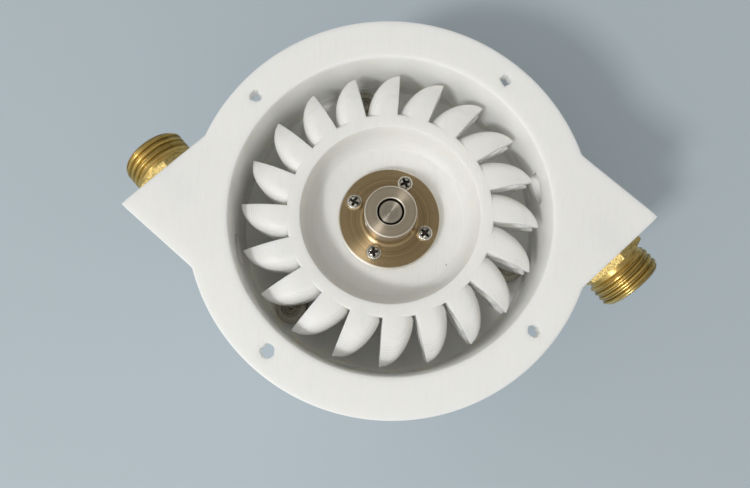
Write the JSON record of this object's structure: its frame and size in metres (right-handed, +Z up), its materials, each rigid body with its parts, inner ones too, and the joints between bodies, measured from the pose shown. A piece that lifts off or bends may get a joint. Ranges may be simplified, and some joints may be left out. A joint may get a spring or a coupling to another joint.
{
  "type": "pelton wheel micro turbine generator",
  "caption": "Small printed Pelton turbine: open round housing with pointed nozzle ears, brass inlet fittings, a bucket runner on a flange coupling, and the generator under it.",
  "frame": {"origin": "centre of the generator's end cap, on the rotor axis, at the surface it stands on", "axes": "+Z up along the rotor axis, +X through the two nozzle ears, +Y to the side where the left fitting points"},
  "size_m": [0.165, 0.12, 0.076],
  "materials": {
    "printed_plastic": "white printed plastic with fine layer lines",
    "brass": "turned thread, sand-blasted hexagon",
    "nickel_plate": "nickel plate over fine turning marks",
    "bright_steel": "zinc-plated or ground steel",
    "dark_bolt_steel": "dull turned steel",
    "cast_aluminium": "satin, turned on the outside",
    "black_rubber": "matt"
  },
  "bodies": {
    "root": {"housing": "printed_plastic", "inlet_fitting_left": "brass", "inlet_fitting_right": "brass", "housing_bolt_1": "dark_bolt_steel", "housing_bolt_2": "dark_bolt_steel", "housing_bolt_3": "dark_bolt_steel", "generator_plate": "cast_aluminium", "generator_case": "cast_aluminium", "generator_end_cap": "cast_aluminium", "shaft_bearing": "bright_steel", "cap_screw_1": "bright_steel", "cap_screw_2": "bright_steel", "cap_screw_3": "bright_steel", "cap_screw_4": "bright_steel", "lead_grommet": "black_rubber"},
    "rotor": {"wheel_rim": "printed_plastic", "bucket_1": "printed_plastic", "bucket_2": "printed_plastic", "bucket_3": "printed_plastic", "bucket_4": "printed_plastic", "bucket_5": "printed_plastic", "bucket_6": "printed_plastic", "bucket_7": "printed_plastic", "bucket_8": "printed_plastic", "bucket_9": "printed_plastic", "bucket_10": "printed_plastic", "bucket_11": "printed_plastic", "bucket_12": "printed_plastic", "bucket_13": "printed_plastic", "bucket_14": "printed_plastic", "bucket_15": "printed_plastic", "bucket_16": "printed_plastic", "bucket_17": "printed_plastic", "bucket_18": "printed_plastic", "bucket_19": "printed_plastic", "bucket_20": "printed_plastic", "shaft_coupling": "nickel_plate", "coupling_screw_1": "bright_steel", "coupling_screw_2": "bright_steel", "coupling_screw_3": "bright_steel", "coupling_screw_4": "bright_steel", "grub_screw_1": "dark_bolt_steel", "grub_screw_2": "dark_bolt_steel", "shaft": "bright_steel"}
  },
  "joints": [
    {"name": "runner_spin", "type": "hinge", "parent": "root", "child": "rotor", "pos_m": [0, 0, 0.0637], "axis": [0, 0, 1], "continuous": true}
  ]
}
